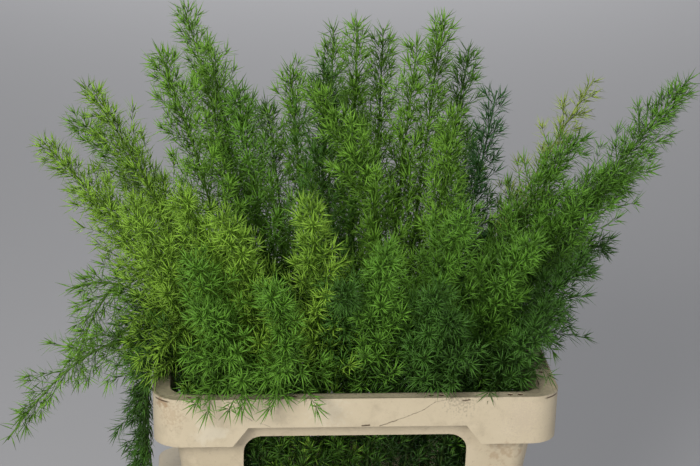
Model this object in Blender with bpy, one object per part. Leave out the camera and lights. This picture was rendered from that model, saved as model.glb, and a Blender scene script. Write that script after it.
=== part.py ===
# Foxtail fern: cut stems standing in water in a two-part trade holder.
# The holder is a plain tapered bucket with a windowed collar seated on its rim.
# Metres, +Z up, origin at the middle of the bucket's underside, front is -Y.

import math
import random

import bmesh
import bpy
import numpy as np

MM = 0.001

# The holder, in millimetres. The collar's length is the size cue for the whole object.
HOLDER_LENGTH = 400.0
HOLDER_DEPTH = 300.0
HOLDER_CORNER = 28.0
CORNER_STEPS = 5
RIM_Z = 390.0

BUCKET_TOP_Z = 205.0
BUCKET_FLOOR_Z = 4.0
BUCKET_FOOT_INSET = 26.0
BUCKET_WALL = 3.0
BUCKET_NECK_INSET = 8.0
BUCKET_RIM_DEPTH = 6.0
BUCKET_EDGE = 2.0
FOOT_EDGE = 3.0

LEDGE_WIDTH = 16.8
APRON_DEEP = 50.0
APRON_SHALLOW = 30.0
APRON_THICK = 2.6
APRON_DRAFT = 0.8
LEDGE_THICK = 4.2
LIP_WIDTH = 2.2
LIP_HEIGHT = 1.2
SEAT_INSET = 5.0
SEAT_THICK = 3.0
SKIRT_DEPTH = 13.0
SKIRT_THICK = 3.0
INNER_WALL = 3.0
INNER_DRAFT = 0.15
SEAT_GAP = 0.3
SHARP_DEGREES = 35.0

WINDOW_TOP = 48.0
WINDOW_SILL_Z = 232.0
WINDOW_FRONT_HALF = 111.0
WINDOW_SIDE_HALF = 60.0
WINDOW_CORNER = 18.0
STEP_FRONT_HALF = 107.0
STEP_SIDE_HALF = 57.0
STEP_SLANT = 15.0

WATER_Z = 110.0
WATER_GAP = 0.3
HOLE_RADIUS = 3.2

# The fronds. A cut stem runs straight from the bucket's floor to the collar's rim,
# and bends on from there to its tip.
FOOT_SPREAD = 0.62
STEM_RADIUS = 1.7
TIP_RADIUS = 0.7
WHORL_SPACING = 66.0
ARCH_STEP = 20.0
NEEDLE_LENGTH = 17.0
TWIG_LENGTH = 62.0
TWIG_LEAN = 52.0
TWIG_TAPER = 0.55
LONG_TWIG = 60.0
TWIG_RADIUS = 0.75
BAND = 1.8
STEM_CLEAR = 1.6
NEEDLE_CLEAR = 0.5

# rim x, rim y, tip x, tip y, tip z, rise of the bend above the rim, lean of the bend
# towards the tip (0 over the rim, 1 over the tip), and share of the full twig length
FRONDS = (
    (-150, -20, -310, 0, 608, 120, 0.40, 0.8),
    (-142, 62, -270, 60, 650, 150, 0.40, 0.8),
    (-122, 112, -290, 170, 583, 130, 0.40, 0.8),
    (-112, 8, -194, 0, 702, 190, 0.40, 1.0),
    (-88, 108, -170, 150, 714, 190, 0.50, 0.8),
    (-85, 62, -144, 60, 697, 170, 0.60, 0.9),
    (-72, 22, -117, 20, 660, 160, 0.60, 1.0),
    (-42, 50, -62, 40, 676, 170, 0.30, 1.0),
    (-18, 92, -14, 100, 702, 180, 0.60, 0.8),
    (8, 58, 7, 60, 718, 190, 0.40, 0.8),
    (34, 108, 39, 110, 699, 180, 0.50, 0.8),
    (44, 28, 67, 30, 702, 170, 0.30, 1.0),
    (66, 74, 98, 80, 719, 180, 0.50, 0.9),
    (88, 112, 134, 130, 676, 160, 0.60, 0.8),
    (102, 44, 154, 60, 645, 150, 0.70, 0.7),
    (132, 82, 256, 60, 658, 130, 0.40, 0.6),
    (156, 4, 341, 0, 673, 140, 0.42, 0.9),
    (158, 108, 329, 140, 540, 110, 0.40, 0.8),
    (128, 14, 236, 20, 608, 130, 0.40, 1.0),
    (-152, -72, -218, -140, 589, 130, 0.50, 1.0),
    (-112, -50, -172, -150, 597, 150, 0.50, 1.0),
    (-84, -92, -133, -160, 581, 130, 0.50, 1.0),
    (-34, -86, -51, -170, 598, 140, 0.60, 1.0),
    (26, -22, -50, -30, 673, 170, -0.40, 1.0),
    (62, -66, 101, -150, 577, 140, 0.50, 1.0),
    (-130, -112, -158, -170, 540, 110, 0.50, 0.9),
    (16, -108, 18, -190, 556, 120, 0.60, 1.0),
    (58, -112, 71, -185, 514, 100, 0.60, 0.9),
    (118, -70, 175, -120, 542, 120, 0.50, 1.0),
    (164, -48, 238, -60, 500, 90, 0.60, 0.9),
    (142, -112, 179, -150, 460, 60, 0.60, 0.7),
    (-14, -58, -19, -200, 511, 130, 0.70, 0.9),
    (-58, -116, -89, -190, 517, 100, 0.60, 0.9),
    (-166, -46, -344, -100, 328, 80, 0.45, 0.6),
    (-164, 20, -289, -20, 456, 90, 0.50, 0.6),
    (-164, 96, -295, 100, 308, 110, 0.60, 0.7),
    (-168, 56, -209, 0, 240, 110, 1.05, 0.8),
    (166, 56, 285, 70, 470, 90, 0.50, 0.9),
    (-56, 118, -80, 225, 590, 140, 0.50, 0.9),
    (10, 118, 20, 235, 600, 140, 0.50, 0.9),
    (124, 118, 150, 225, 560, 120, 0.50, 0.9),
    (-156, 112, -210, 200, 480, 100, 0.50, 0.8),
    (-28, 2, -30, 0, 690, 170, 0.50, 1.0),
    (84, -14, 100, -20, 640, 160, 0.50, 1.0),
    (148, 40, 289, 20, 562, 120, 0.45, 0.9),
    (112, 88, 228, 90, 516, 130, 0.50, 0.9),
    (-136, -30, -266, -60, 568, 130, 0.45, 1.0),
    (-100, -114, -157, -195, 498, 95, 0.60, 0.9),
    (98, -112, 79, -190, 484, 95, 0.60, 0.9),
    (150, -84, 206, -122, 466, 80, 0.50, 0.9),
    (-168, -88, -210, -74, 262, 90, 1.05, 0.8),
)


def new_object(name, points, faces):
    mesh = bpy.data.meshes.new(name)
    mesh.from_pydata([[c * MM for c in p] for p in points], [], faces)
    mesh.validate()
    obj = bpy.data.objects.new(name, mesh)
    bpy.context.scene.collection.objects.link(obj)
    return obj


def give_material(obj, colour, roughness):
    material = bpy.data.materials.new(obj.name)
    material.use_nodes = True
    shader = material.node_tree.nodes["Principled BSDF"]
    shader.inputs["Base Color"].default_value = (*colour, 1.0)
    shader.inputs["Roughness"].default_value = roughness
    shader.inputs["Metallic"].default_value = 0.0
    obj.data.materials.clear()
    obj.data.materials.append(material)


def smooth(obj):
    obj.data.shade_smooth()
    obj.data.set_sharp_from_angle(angle=math.radians(SHARP_DEGREES))


# A loop of the holder's plan: the outer rounded rectangle moved inwards by an inset.
def plan_loop(inset, z):
    half_x, half_y = HOLDER_LENGTH / 2 - inset, HOLDER_DEPTH / 2 - inset
    radius = max(HOLDER_CORNER - 0.35 * inset, 8.0)
    loop = []
    for sx, sy, start in ((1, 1, 0), (-1, 1, 90), (-1, -1, 180), (1, -1, 270)):
        for step in range(CORNER_STEPS + 1):
            angle = math.radians(start + 90 * step / CORNER_STEPS)
            x = sx * (half_x - radius) + radius * math.cos(angle)
            y = sy * (half_y - radius) + radius * math.sin(angle)
            loop.append((x, y, z))
    return loop


# Skins a row of plan loops. A ring joins the last loop to the first, a block caps both.
def skin(name, profile, ring):
    loops = [plan_loop(inset, z) for inset, z in profile]
    count = len(loops[0])
    points = [p for loop in loops for p in loop]
    faces = []
    for k in range(len(loops) if ring else len(loops) - 1):
        a, b = k * count, (k + 1) % len(loops) * count
        for i in range(count):
            j = (i + 1) % count
            faces.append((a + i, a + j, b + j, b + i))
    if not ring:
        faces.append(tuple(reversed(range(count))))
        faces.append(tuple(range((len(loops) - 1) * count, len(loops) * count)))
    obj = new_object(name, points, faces)
    face_outwards(obj)
    return obj


def face_outwards(obj):
    bm = bmesh.new()
    bm.from_mesh(obj.data)
    bmesh.ops.recalc_face_normals(bm, faces=bm.faces)
    if bm.calc_volume(signed=True) < 0:
        bmesh.ops.reverse_faces(bm, faces=bm.faces)
    bm.to_mesh(obj.data)
    bm.free()


# A prism with the given outline, standing along X or Y between two stations.
def prism(name, outline, axis, start, end):
    points = []
    for station in (start, end):
        for across, z in outline:
            points.append((station, across, z) if axis == "X" else (across, station, z))
    count = len(outline)
    faces = [(i, (i + 1) % count, count + (i + 1) % count, count + i) for i in range(count)]
    faces.append(tuple(reversed(range(count))))
    faces.append(tuple(range(count, 2 * count)))
    obj = new_object(name, points, faces)
    face_outwards(obj)
    return obj


def cut(target, cutters):
    group = bpy.data.collections.new("cutters")
    bpy.context.scene.collection.children.link(group)
    for cutter in cutters:
        bpy.context.scene.collection.objects.unlink(cutter)
        group.objects.link(cutter)
        cutter.hide_render = True
    modifier = target.modifiers.new("cut", "BOOLEAN")
    modifier.operation = "DIFFERENCE"
    modifier.operand_type = "COLLECTION"
    modifier.collection = group
    modifier.solver = "EXACT"
    bpy.context.view_layer.objects.active = target
    bpy.ops.object.modifier_apply(modifier=modifier.name)
    for cutter in cutters:
        bpy.data.objects.remove(cutter)
    bpy.data.collections.remove(group)


def window_outline(half, bottom, top):
    outline = []
    mid = (top + bottom) / 2
    tall = (top - bottom) / 2
    for sx, sz, start in ((1, 1, 0), (-1, 1, 90), (-1, -1, 180), (1, -1, 270)):
        for step in range(CORNER_STEPS):
            angle = math.radians(start + 90 * step / (CORNER_STEPS - 1))
            x = sx * (half - WINDOW_CORNER) + WINDOW_CORNER * math.cos(angle)
            z = sz * (tall - WINDOW_CORNER) + WINDOW_CORNER * math.sin(angle)
            outline.append((x, mid + z))
    return outline


for old in list(bpy.data.objects):
    bpy.data.objects.remove(old)

# Bucket: a cup with a rolled-out rim flange, drafted down to its foot.
neck = BUCKET_NECK_INSET
bucket = skin(
    "bucket",
    (
        (BUCKET_FOOT_INSET + FOOT_EDGE, 0),
        (BUCKET_FOOT_INSET, FOOT_EDGE),
        (neck, BUCKET_TOP_Z - BUCKET_RIM_DEPTH - BUCKET_EDGE),
        (0, BUCKET_TOP_Z - BUCKET_RIM_DEPTH),
        (0, BUCKET_TOP_Z - BUCKET_EDGE / 2),
        (BUCKET_EDGE / 2, BUCKET_TOP_Z),
        (neck + BUCKET_WALL, BUCKET_TOP_Z),
        (BUCKET_FOOT_INSET + BUCKET_WALL, BUCKET_FLOOR_Z + BUCKET_EDGE),
        (BUCKET_FOOT_INSET + BUCKET_WALL + BUCKET_EDGE, BUCKET_FLOOR_Z),
    ),
    ring=False,
)
give_material(bucket, (0.70, 0.64, 0.50), 0.55)
smooth(bucket)


# Collar: one ring of ledge, apron, drafted inner wall, seat flange and locating skirt.
def wall_inset(z):
    return LEDGE_WIDTH - INNER_WALL + INNER_DRAFT * (RIM_Z - z)


seat = BUCKET_TOP_Z + SEAT_GAP
skirt = neck + BUCKET_WALL + 2.0
ledge_z = RIM_Z - LEDGE_THICK
collar = skin(
    "collar",
    (
        (LIP_HEIGHT, RIM_Z),
        (0.0, RIM_Z - LIP_HEIGHT),
        (APRON_DRAFT, RIM_Z - APRON_DEEP),
        (APRON_DRAFT + APRON_THICK, RIM_Z - APRON_DEEP),
        (APRON_THICK, ledge_z),
        (wall_inset(ledge_z), ledge_z),
        (wall_inset(seat + SEAT_THICK), seat + SEAT_THICK),
        (SEAT_INSET, seat + SEAT_THICK),
        (SEAT_INSET, seat),
        (skirt, seat),
        (skirt + 1.0, seat - SKIRT_DEPTH),
        (skirt + 1.0 + SKIRT_THICK, seat - SKIRT_DEPTH),
        (skirt + 1.0 + SKIRT_THICK, seat),
        (wall_inset(seat) + INNER_WALL, seat),
        (LEDGE_WIDTH + 0.9, ledge_z - 1.8),
        (LEDGE_WIDTH, RIM_Z - LIP_HEIGHT - 1.0),
        (LEDGE_WIDTH - LIP_HEIGHT, RIM_Z - LIP_HEIGHT - 0.2),
        (LIP_WIDTH + 1.0, RIM_Z - LIP_HEIGHT),
        (LIP_WIDTH, RIM_Z),
    ),
    ring=True,
)
window_top = RIM_Z - WINDOW_TOP
cutters = [
    prism("w1", window_outline(WINDOW_FRONT_HALF, WINDOW_SILL_Z, window_top), "Y", -140, 140),
    prism("w2", window_outline(WINDOW_SIDE_HALF, WINDOW_SILL_Z, window_top), "X", -190, 190),
]
for half, axis, edge in (
    (STEP_FRONT_HALF, "Y", HOLDER_DEPTH / 2),
    (STEP_SIDE_HALF, "X", HOLDER_LENGTH / 2),
):
    low, high = RIM_Z - APRON_DEEP - 3, RIM_Z - APRON_SHALLOW
    slant = STEP_SLANT * (high - low) / (APRON_DEEP - APRON_SHALLOW)
    outline = ((-half, high), (-half - slant, low), (half + slant, low), (half, high))
    for side in (-1, 1):
        cutters.append(prism("step", outline, axis, side * (edge + 5), side * (edge - 9)))
cut(collar, cutters)
give_material(collar, (0.72, 0.66, 0.52), 0.55)
smooth(collar)


def unit(v):
    return v / max(np.linalg.norm(v), 1e-9)


# Least distance from the line p-q to each line starts-ends.
def line_gaps(p, q, starts, ends):
    d1, d2, r = q - p, ends - starts, p - starts
    a, e = d1 @ d1, np.maximum((d2 * d2).sum(1), 1e-9)
    b, c, f = d2 @ d1, r @ d1, (d2 * r).sum(1)
    s = np.clip((b * f - c * e) / np.maximum(a * e - b * b, 1e-9), 0, 1)
    t = np.clip((b * s + f) / e, 0, 1)
    s = np.clip((b * t - c) / max(a, 1e-9), 0, 1)
    return np.linalg.norm(p + s[:, None] * d1 - starts - t[:, None] * d2, axis=1)


# True where a point is in or too near the holder's walls, or in a window's free way.
def in_holder(points, margin):
    x, y, z = np.abs(points[:, 0]), np.abs(points[:, 1]), points[:, 2]
    qx = x - (HOLDER_LENGTH / 2 - HOLDER_CORNER)
    qy = y - (HOLDER_DEPTH / 2 - HOLDER_CORNER)
    out = np.hypot(np.maximum(qx, 0), np.maximum(qy, 0))
    out += np.minimum(np.maximum(qx, qy), 0) - HOLDER_CORNER
    depth = RIM_Z - z
    inner = LEDGE_WIDTH + INNER_DRAFT * depth + np.where(depth > 40, 9.0, 3.0) + margin
    inner = np.where(depth > RIM_Z - BUCKET_TOP_Z - 30, 70.0, inner)
    return (depth > -margin - 1.0) & (-out > -2.0 - margin) & (-out < inner)


# Every line that is already standing: its ends, radius and the frond it belongs to.
class Lines:
    def __init__(self):
        self.starts, self.ends = np.zeros((0, 3)), np.zeros((0, 3))
        self.radii, self.owners = np.zeros(0), np.zeros(0, int)

    def add(self, p, q, radius, owner):
        self.starts = np.vstack((self.starts, p))
        self.ends = np.vstack((self.ends, q))
        self.radii = np.append(self.radii, radius)
        self.owners = np.append(self.owners, owner)

    def clear(self, p, q, radius, owner, gap, own=False):
        pick = self.owners == owner if own else self.owners != owner
        if not pick.any():
            return True
        found = line_gaps(p, q, self.starts[pick], self.ends[pick]) - self.radii[pick]
        return found.min() > radius + gap


# A frond's axis: its foot, then seventeen points on the curve from the rim to the tip.
def axis_points(frond):
    rim = np.array((frond[0], frond[1], RIM_Z))
    tip = np.array(frond[2:5], float)
    bend = rim + (tip - rim) * frond[6]
    bend[2] = RIM_Z + frond[5]
    foot = np.array((rim[0] * FOOT_SPREAD, rim[1] * FOOT_SPREAD, BUCKET_FLOOR_Z + SEAT_GAP))
    steps = np.linspace(0, 1, 17)[:, None]
    curve = (1 - steps) ** 2 * rim + 2 * steps * (1 - steps) * bend + steps**2 * tip
    return np.vstack((foot, curve))


class Axis:
    def __init__(self, points):
        self.points = points
        steps = np.linalg.norm(np.diff(points, axis=0), axis=1)
        self.along = np.concatenate(((0,), np.cumsum(steps)))
        self.length = self.along[-1]

    def at(self, s):
        return np.array([np.interp(s, self.along, self.points[:, k]) for k in range(3)])

    def heading(self, s):
        return unit(self.at(min(s + 9, self.length)) - self.at(max(s - 9, 0)))


# A frond in growing order: loops of four points, each grown out of the last.
class Frond:
    def __init__(self):
        self.points, self.faces = [], []

    def loop(self, centre, heading, side, radius, count=4):
        up = np.cross(heading, side)
        first = len(self.points)
        for k in range(count):
            angle = 2 * math.pi * k / count
            self.points.append(centre + radius * (math.cos(angle) * side + math.sin(angle) * up))
        return list(range(first, first + count))

    def grow(self, loop, centre, heading, radius):
        middle = np.mean([self.points[i] for i in loop], axis=0)
        new = []
        for i in loop:
            offset = self.points[i] - middle
            offset = unit(offset - (offset @ heading) * heading)
            new.append(len(self.points))
            self.points.append(centre + radius * offset)
        self.join(loop, new)
        return new

    def join(self, low, high):
        for i in range(len(low)):
            j = (i + 1) % len(low)
            self.faces.append((low[i], low[j], high[j], high[i]))

    def spike(self, loop, tip):
        self.points.append(tip)
        for i in range(len(loop)):
            self.faces.append((loop[i], loop[(i + 1) % len(loop)], len(self.points) - 1))

    def middle(self, loop):
        return np.mean([self.points[i] for i in loop], axis=0)


def side_of(heading, last):
    return unit(last - (last @ heading) * heading)


# The whorls of one frond: stations along its axis where needles and a twig come out.
def whorl_stations(axis, frond):
    rim_at = axis.along[1]
    start = rim_at - (95 if frond[1] < 0 else 40)
    count = max(5, round((axis.length - start) / WHORL_SPACING))
    return [start + (axis.length - 12 - start) * k / (count - 1) for k in range(count)]


# Where the twigs stand: a twig leaves out of one face of each whorl but the last.
def twig_plan(owner, axis, frond, lines):
    draw = random.Random(300 + owner)
    stations = whorl_stations(axis, frond)
    plan = []
    for k, s in enumerate(stations[:-1]):
        share = k / (len(stations) - 1)
        length = TWIG_LENGTH * frond[7] * min(1.0, (1 - share) / TWIG_TAPER) ** 0.8
        heading = axis.heading(s)
        chosen = None
        for attempt in range(24):
            face = (k + attempt) % 4
            tilt = math.radians(TWIG_LEAN + draw.uniform(-10, 10))
            side = side_of(heading, np.array((1.0, 0.0, 0.0)))
            turn = math.radians(45 + 90 * face)
            out = math.cos(turn) * side + math.sin(turn) * np.cross(heading, side)
            way = unit(math.cos(tilt) * heading + math.sin(tilt) * out)
            long = length * (1 - 0.025 * attempt)
            root = axis.at(s)
            end = root + way * long
            samples = root + np.outer(np.linspace(0.1, 1.25, 14), way * long)
            if in_holder(samples, 2.0).any():
                continue
            if lines.clear(root, end + way * 8, TWIG_RADIUS, owner, STEM_CLEAR):
                chosen = (face, way, long)
                break
        plan.append(chosen)
        if chosen:
            lines.add(root + chosen[1] * 2, end, TWIG_RADIUS, owner)
    return stations, plan


# Pulls a needle out of a small face, turned or shortened until it touches nothing.
def pull_needle(body, loop, way, owner, lines, draw, length=NEEDLE_LENGTH):
    root = body.middle(loop)
    for attempt in range(10):
        spread = 0.08 + 0.04 * attempt
        lean = np.array([draw.uniform(-spread, spread) for _ in range(3)])
        aim = unit(way + lean)
        tip = root + aim * length * (draw.uniform(0.85, 1.1) - 0.03 * attempt)
        samples = root + np.outer(np.linspace(0.1, 1.05, 12), tip - root)
        if in_holder(samples, 0.5).any():
            continue
        outer = root + (tip - root) * 0.35
        free = lines.clear(root, tip, 0.8, owner, NEEDLE_CLEAR)
        if free and lines.clear(outer, tip, 0.3, owner, 0.4, True):
            body.spike(loop, tip)
            lines.add(outer, tip, 0.6, owner)
            return
    body.faces.append(tuple(loop))


# A twig grown out of a face: one or two bands of needles, and one more at its end.
def build_twig(body, loop, way, long, owner, lines, draw):
    root = body.middle(loop)
    for share in (0.36, 0.72) if long > LONG_TWIG else (0.5,):
        low = body.grow(loop, root + way * long * share, way, TWIG_RADIUS)
        loop = []
        for i in low:
            loop.append(len(body.points))
            body.points.append(body.points[i] + way * BAND)
        for i in range(4):
            j = (i + 1) % 4
            face = [low[i], low[j], loop[j], loop[i]]
            out = unit(body.middle(face) - body.middle(low + loop))
            aim = unit(way * math.cos(0.85) + out * math.sin(0.85))
            pull_needle(body, face, aim, owner, lines, draw, NEEDLE_LENGTH * 0.9)
    last = body.grow(loop, root + way * (long - 2), way, TWIG_RADIUS * 0.8)
    pull_needle(body, last, way, owner, lines, draw, NEEDLE_LENGTH * 0.8)


def build_frond(owner, axis, plan, stations, lines):
    draw = random.Random(500 + owner)
    body = Frond()
    heading = axis.heading(5)
    side = side_of(heading, np.array((1.0, 0.0, 0.0)))
    loop = body.loop(axis.at(0), heading, side, STEM_RADIUS)
    body.faces.append(tuple(reversed(loop)))
    rim_at = axis.along[1]
    plain = [rim_at]
    if FRONDS[owner][4] < RIM_Z:
        plain = list(np.arange(rim_at, axis.length - ARCH_STEP, ARCH_STEP))
    plain = [s for s in plain if min(abs(s - t) for t in stations) > 2 * BAND]
    marks = sorted([(s, k) for k, s in enumerate(stations)] + [(s, -1) for s in plain])
    for s, k in marks:
        share = min(1.0, max(0.0, (s - rim_at) / (axis.length - rim_at)))
        radius = STEM_RADIUS + (TIP_RADIUS - STEM_RADIUS) * share
        heading = axis.heading(s)
        side = side_of(heading, np.array((1.0, 0.0, 0.0)))
        low = body.loop(axis.at(s) - heading * BAND / 2, heading, side, radius)
        body.join(loop, low)
        loop = low
        if k < 0:
            continue
        high = body.loop(axis.at(s) + heading * BAND / 2, heading, side, radius * 0.97)
        twig = plan[k] if k < len(plan) else None
        for i in range(4):
            j = (i + 1) % 4
            face = [low[i], low[j], high[j], high[i]]
            out = unit(body.middle(face) - body.middle(low + high))
            if twig and twig[0] == i:
                build_twig(body, face, twig[1], twig[2], owner, lines, draw)
                continue
            tilt = math.radians(58 - 14 * share)
            aim = unit(heading * math.cos(tilt) + out * math.sin(tilt))
            pull_needle(body, face, aim, owner, lines, draw)
        loop = high
    heading = axis.heading(axis.length)
    body.spike(loop, axis.at(axis.length) + heading * 3)
    return new_object("frond_%02d" % (owner + 1), body.points, body.faces)


lines = Lines()
axes = [Axis(axis_points(frond)) for frond in FRONDS]
for owner, axis in enumerate(axes):
    for p, q in zip(axis.points[:-1], axis.points[1:]):
        lines.add(p, q, STEM_RADIUS, owner)
plans = [twig_plan(k, axis, FRONDS[k], lines) for k, axis in enumerate(axes)]
for owner, axis in enumerate(axes):
    stations, plan = plans[owner]
    frond = build_frond(owner, axis, plan, stations, lines)
    give_material(frond, (0.09, 0.26, 0.05), 0.6)

# Water: fills the bucket's foot round the stems, each in a plain hole of its own.
rise = (neck + BUCKET_WALL, BUCKET_FOOT_INSET + BUCKET_WALL)
share = (WATER_Z - BUCKET_FLOOR_Z) / (BUCKET_TOP_Z - BUCKET_FLOOR_Z)
water = skin(
    "water",
    (
        (rise[1] + 2.6, BUCKET_FLOOR_Z + WATER_GAP),
        (rise[1] + 0.6, BUCKET_FLOOR_Z + 2.3),
        (rise[1] + (rise[0] - rise[1]) * share + 0.6, WATER_Z),
    ),
    ring=False,
)
holes = []
for axis in axes:
    heading = axis.heading(5)
    body = Frond()
    side = side_of(heading, np.array((1.0, 0.0, 0.0)))
    low = body.loop(axis.at(0) - heading * 8, heading, side, HOLE_RADIUS, 5)
    high = body.loop(axis.at(0) + heading * 160, heading, side, HOLE_RADIUS, 5)
    body.join(low, high)
    body.faces.append(tuple(reversed(low)))
    body.faces.append(tuple(high))
    holes.append(new_object("hole", body.points, body.faces))
cut(water, holes)
give_material(water, (0.55, 0.62, 0.60), 0.05)
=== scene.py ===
import math
import random

import bmesh
import bpy
import numpy as np
from mathutils import Matrix, Vector


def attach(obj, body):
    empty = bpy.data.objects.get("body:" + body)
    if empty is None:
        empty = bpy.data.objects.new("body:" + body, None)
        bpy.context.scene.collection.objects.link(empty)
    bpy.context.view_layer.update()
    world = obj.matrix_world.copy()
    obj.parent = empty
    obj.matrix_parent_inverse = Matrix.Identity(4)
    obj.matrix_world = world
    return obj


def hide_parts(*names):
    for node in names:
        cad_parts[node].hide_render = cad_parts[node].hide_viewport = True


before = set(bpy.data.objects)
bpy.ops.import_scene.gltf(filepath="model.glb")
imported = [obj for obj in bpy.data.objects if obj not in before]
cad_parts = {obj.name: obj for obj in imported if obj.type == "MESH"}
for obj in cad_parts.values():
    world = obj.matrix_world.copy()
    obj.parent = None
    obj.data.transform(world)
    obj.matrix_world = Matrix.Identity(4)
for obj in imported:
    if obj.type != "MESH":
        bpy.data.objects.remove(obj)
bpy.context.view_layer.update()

# The stage: a pale floor, soft studio lights, and a long lens that looks down on the
# front of the collar from a little to its left. None of it belongs to the object.
MM = 0.001
CAMERA_PLACE = (-0.153, -1.913, 1.148)
CAMERA_TURN = math.radians(-4.57)
CAMERA_PITCH = math.radians(18.4)
CAMERA_ROLL = math.radians(1.23)
LENS_MM = 101.6
SENSOR_MM = 36.0
FLOOR_HALF = 15.0
FLOOR_GREY = (0.50, 0.50, 0.52)
WORLD_GREY = (0.80, 0.82, 0.85)
WORLD_STRENGTH = 0.15

# name, place, size, watts, colour, and where it points
LIGHTS = (
    ("key", (-1.5, -2.9, 1.9), 1.4, 92, (1.0, 0.985, 0.95), (0, 0, 0.45)),
    ("fill", (1.7, -2.7, 1.2), 1.6, 19, (0.97, 0.98, 1.0), (0, 0, 0.45)),
    ("top", (-0.2, 0.2, 2.8), 1.4, 16, (1.0, 1.0, 1.0), (0, 0, 0.45)),
    ("backdrop", (0.3, 5.0, 2.4), 3.0, 63, (1.0, 1.0, 1.0), (0.3, 4.2, 0.0)),
)

scene = bpy.context.scene
scene.view_settings.view_transform = "Standard"


def add_camera():
    data = bpy.data.cameras.new("camera")
    data.lens, data.sensor_width = LENS_MM, SENSOR_MM
    data.sensor_fit = "HORIZONTAL"
    camera = bpy.data.objects.new("camera", data)
    scene.collection.objects.link(camera)
    camera.matrix_world = (
        Matrix.Translation(CAMERA_PLACE)
        @ Matrix.Rotation(CAMERA_TURN, 4, "Z")
        @ Matrix.Rotation(math.radians(90) - CAMERA_PITCH, 4, "X")
        @ Matrix.Rotation(CAMERA_ROLL, 4, "Z")
    )
    scene.camera = camera


def add_light(name, place, size, watts, colour, target):
    data = bpy.data.lights.new(name, "AREA")
    data.shape, data.size, data.energy, data.color = "DISK", size, watts, colour
    light = bpy.data.objects.new(name, data)
    scene.collection.objects.link(light)
    light.location = place
    aim = Vector(target) - Vector(place)
    light.rotation_euler = aim.to_track_quat("-Z", "Y").to_euler()


def add_world(grey, strength):
    world = bpy.data.worlds.new("studio")
    world.use_nodes = True
    background = world.node_tree.nodes["Background"]
    background.inputs["Color"].default_value = (*grey, 1)
    background.inputs["Strength"].default_value = strength
    scene.world = world


def plain_material(name, colour, roughness):
    material = bpy.data.materials.new(name)
    material.use_nodes = True
    shader = material.node_tree.nodes["Principled BSDF"]
    shader.inputs["Base Color"].default_value = (*colour, 1)
    shader.inputs["Roughness"].default_value = roughness
    return material


def add_floor():
    bm = bmesh.new()
    bmesh.ops.create_grid(bm, x_segments=1, y_segments=1, size=FLOOR_HALF)
    mesh = bpy.data.meshes.new("floor")
    bm.to_mesh(mesh)
    bm.free()
    floor = bpy.data.objects.new("floor", mesh)
    scene.collection.objects.link(floor)
    mesh.materials.append(plain_material("floor", FLOOR_GREY, 0.9))


add_camera()
for light in LIGHTS:
    add_light(*light)
add_world(WORLD_GREY, WORLD_STRENGTH)
add_floor()


# Moulded holder plastic, used by the bucket and the collar: cream polypropylene, a little
# mottled, with fine grain, dark flecks and patches of old grime.
def node_group(name, inputs, outputs):
    tree = bpy.data.node_groups.new(name, "ShaderNodeTree")
    for label, kind, value in inputs:
        socket = tree.interface.new_socket(label, in_out="INPUT", socket_type=kind)
        socket.default_value = value
    for label, kind in outputs:
        tree.interface.new_socket(label, in_out="OUTPUT", socket_type=kind)
    return tree, tree.nodes.new("NodeGroupInput"), tree.nodes.new("NodeGroupOutput")


def put(tree, kind, links=None, **settings):
    node = tree.nodes.new(kind)
    for key, value in settings.items():
        if key in node.bl_rna.properties:
            setattr(node, key, value)
        else:
            node.inputs[key.replace("_", " ")].default_value = value
    for socket, source in (links or {}).items():
        tree.links.new(source, node.inputs[socket])
    return node


def ramp(tree, source, low, high):
    node = tree.nodes.new("ShaderNodeMapRange")
    node.inputs["From Min"].default_value = low
    node.inputs["From Max"].default_value = high
    tree.links.new(source, node.inputs["Value"])
    return node.outputs["Result"]


# Links a socket's value, or sets it.
def feed(tree, socket, value):
    if isinstance(value, bpy.types.NodeSocket):
        tree.links.new(value, socket)
    elif isinstance(value, tuple):
        socket.default_value = (*value, 1)
    else:
        socket.default_value = value


def blend_colours(tree, factor, first, second, mode="MIX"):
    node = tree.nodes.new("ShaderNodeMix")
    node.data_type, node.blend_type = "RGBA", mode
    for index, value in ((0, factor), (6, first), (7, second)):
        feed(tree, node.inputs[index], value)
    return node.outputs[2]


def calculate(tree, operation, *values):
    node = tree.nodes.new("ShaderNodeMath")
    node.operation = operation
    for index, value in enumerate(values):
        feed(tree, node.inputs[index], value)
    return node.outputs[0]


def noise(tree, place, **settings):
    return put(tree, "ShaderNodeTexNoise", {"Vector": place}, **settings).outputs["Fac"]


CREAM = (0.65, 0.555, 0.395)
DIRT = (0.20, 0.15, 0.09)
MOTTLE_DARK = (0.93, 0.92, 0.90)
MOTTLE_LIGHT = (1.05, 1.05, 1.06)
CLEAN_ROUGHNESS = 0.46
DIRT_ROUGHNESS = 0.3


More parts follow.
